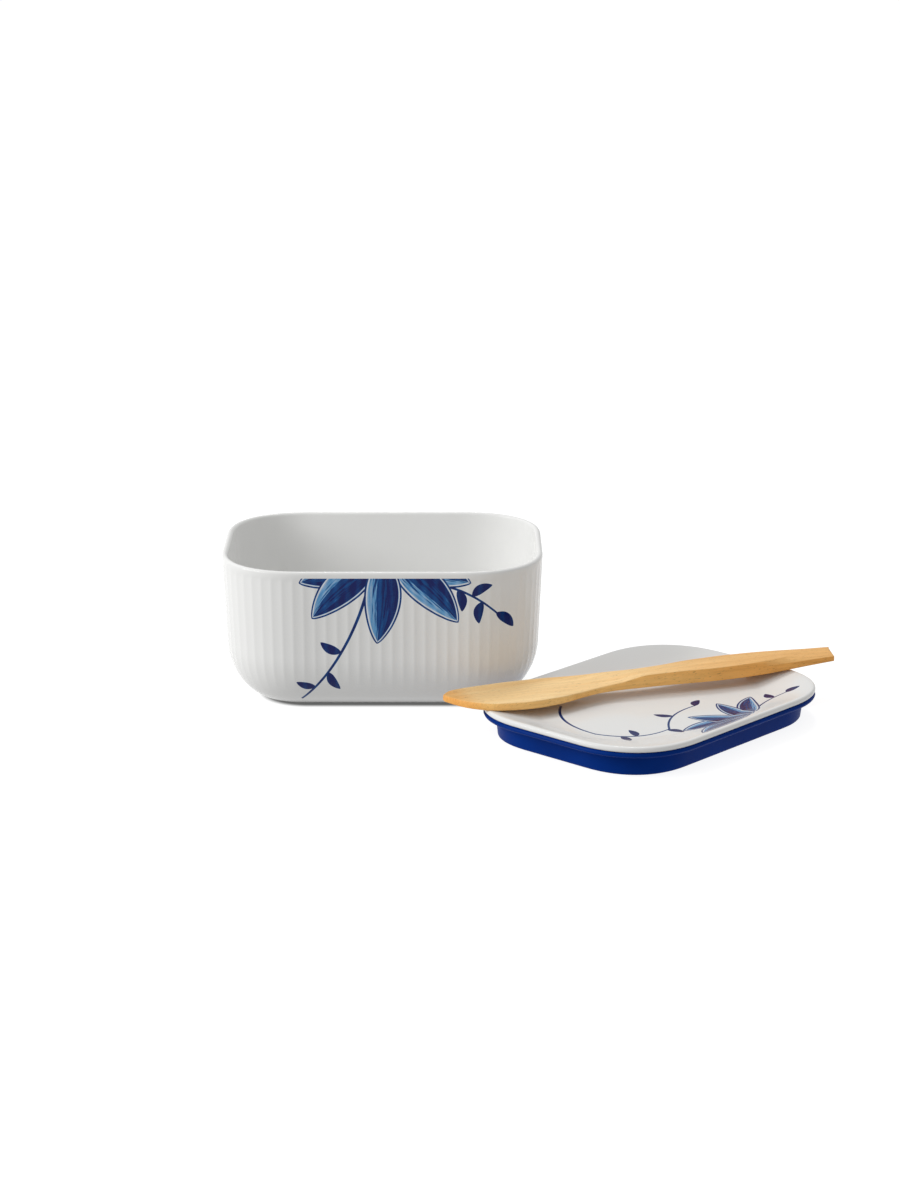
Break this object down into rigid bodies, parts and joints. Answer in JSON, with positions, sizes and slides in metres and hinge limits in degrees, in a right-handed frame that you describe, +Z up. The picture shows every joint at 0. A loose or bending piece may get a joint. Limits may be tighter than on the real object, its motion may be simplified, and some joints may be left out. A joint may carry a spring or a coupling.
{
  "type": "butter dish",
  "caption": "Deep rectangular porcelain butter dish with round corners, its tray-shaped lid in a silicone seal, and a wooden butter knife.",
  "frame": {"origin": "centre of the dish's flat foot, on the table", "axes": "+Z up; +X along the dish, towards the side where the lid lies; -Y is the front, which carries the main decoration"},
  "size_m": [0.2876, 0.201, 0.0695],
  "materials": {
    "porcelain_dish": "glossy clear glaze over white body, blue brushwork under the glaze",
    "silicone": "satin moulded silicone, royal blue",
    "porcelain_lid": "glossy clear glaze over white body, blue brushwork under the glaze",
    "pale_wood": "oiled close-grained wood, carved and sanded"
  },
  "bodies": {
    "dish": {"dish": "porcelain_dish"},
    "seal": {"lid_seal": "silicone"},
    "lid": {"lid_plate": "porcelain_lid"},
    "knife": {"butter_knife": "pale_wood"}
  },
  "joints": [
    {"name": "lid_lift", "type": "slide", "parent": "dish", "child": "seal", "axis": [0, 0, 1], "range_m": [0, 0.1]},
    {"name": "seal_pull", "type": "slide", "parent": "seal", "child": "lid", "axis": [0, 0, 1], "range_m": [0, 0.04]},
    {"name": "knife_lift", "type": "slide", "parent": "lid", "child": "knife", "axis": [0, 0, 1], "range_m": [0, 0.06]}
  ]
}
